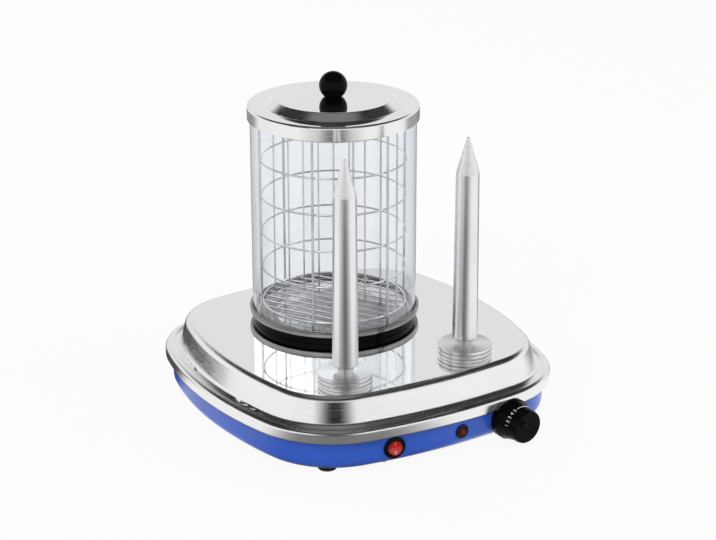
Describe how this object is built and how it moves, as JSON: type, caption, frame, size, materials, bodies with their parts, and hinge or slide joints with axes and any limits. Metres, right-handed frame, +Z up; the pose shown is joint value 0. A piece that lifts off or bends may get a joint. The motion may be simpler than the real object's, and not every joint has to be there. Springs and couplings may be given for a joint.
{
  "type": "hot dog toaster",
  "caption": "Countertop hot dog toaster: round-cornered base with a steel deck, a lidded glass steaming cylinder with a wire basket, and upright heated bread spikes.",
  "frame": {"origin": "bottom centre of the whole object's box, on the surface that the feet stand on", "axes": "+Z up, +X to the right of a person who faces the controls, +Y towards the back"},
  "size_m": [0.358, 0.3857, 0.3389],
  "materials": {
    "steel_polished": "mirror-polished stainless steel with a brushed border",
    "blue_enamel": "glossy blue enamel on steel",
    "zinc_plate": "zinc-plated steel",
    "black_rubber": "matt black rubber",
    "screw_steel": "zinc-plated fasteners",
    "black_bakelite": "glossy black phenolic",
    "cast_aluminium": "as cast",
    "element_steel": "oxidised heater sheath",
    "cutout_body": "dark brown phenolic",
    "brass_terminal": "plain brass",
    "clear_glass": "clear borosilicate tube, fire-polished rims",
    "basket_wire": "polished steel wire",
    "spike_aluminium": "satin turned aluminium",
    "turned_aluminium": "turned, fine concentric lines",
    "black_plastic": "black nylon",
    "red_rocker": "translucent red",
    "red_lens": "dark translucent red",
    "white_block": "ceramic white terminal block"
  },
  "bodies": {
    "base": {"deck_cover": "steel_polished", "base_shell": "blue_enamel", "bottom_plate": "zinc_plate", "foot_front_left": "black_rubber", "foot_front_right": "black_rubber", "foot_back_right": "black_rubber", "foot_back_left": "black_rubber", "foot_screws": "screw_steel", "tie_posts": "screw_steel", "tie_post_screws": "screw_steel", "bottom_plate_screws": "screw_steel", "seat_ring": "black_bakelite", "steam_dish": "steel_polished", "dish_stud": "screw_steel", "heating_plate": "cast_aluminium", "ring_element": "element_steel", "heater_clamp": "zinc_plate", "heater_nut": "screw_steel", "thermal_cutout": "cutout_body", "thermal_cutout_terminals": "brass_terminal", "heat_shield": "zinc_plate", "heat_shield_standoffs": "screw_steel", "left_spike_base": "turned_aluminium", "left_spike": "spike_aluminium", "left_spike_heater": "element_steel", "right_spike_base": "turned_aluminium", "right_spike": "spike_aluminium", "right_spike_heater": "element_steel", "spike_washers": "screw_steel", "spike_nuts": "screw_steel", "switch_housing": "black_plastic", "switch_terminals": "brass_terminal", "lamp_housing": "black_plastic", "lamp_lens": "red_lens", "lamp_clip": "black_plastic", "thermostat_body": "cutout_body", "thermostat_terminals": "brass_terminal", "thermostat_dial_plate": "black_bakelite", "thermostat_nut": "screw_steel", "cord_gland": "black_plastic", "cord_gland_nut": "black_plastic", "terminal_block": "white_block", "terminal_screws": "brass_terminal", "earth_terminal": "screw_steel"},
    "glass": {"glass_cylinder": "clear_glass"},
    "lid": {"lid": "steel_polished", "lid_knob": "black_bakelite", "lid_knob_screw": "screw_steel"},
    "basket": {"basket_ring_1": "basket_wire", "basket_ring_2": "basket_wire", "basket_ring_3": "basket_wire", "basket_ring_4": "basket_wire", "basket_ring_5": "basket_wire", "basket_ring_6": "basket_wire", "basket_uprights": "basket_wire", "basket_divider": "basket_wire", "basket_floor": "basket_wire"},
    "rocker": {"switch_rocker": "red_rocker"},
    "knob": {"thermostat_knob": "black_bakelite", "thermostat_shaft": "screw_steel"}
  },
  "joints": [
    {"name": "glass_lift", "type": "slide", "parent": "base", "child": "glass", "axis": [0, 0, 1], "range_m": [0, 0.24]},
    {"name": "lid_lift", "type": "slide", "parent": "glass", "child": "lid", "axis": [0, 0, 1], "range_m": [0, 0.15]},
    {"name": "basket_lift", "type": "slide", "parent": "base", "child": "basket", "axis": [0, 0, 1], "range_m": [0, 0.014]},
    {"name": "rocker_tilt", "type": "hinge", "parent": "base", "child": "rocker", "pos_m": [-0.05754, -0.15882, 0.02225], "axis": [0.9952, -0.0982, 0], "range_deg": [0, 18]},
    {"name": "thermostat_turn", "type": "hinge", "parent": "base", "child": "knob", "pos_m": [0.07518, -0.15789, 0.0236], "axis": [-0.1279, 0.9904, 0.0523], "range_deg": [0, 270]}
  ]
}
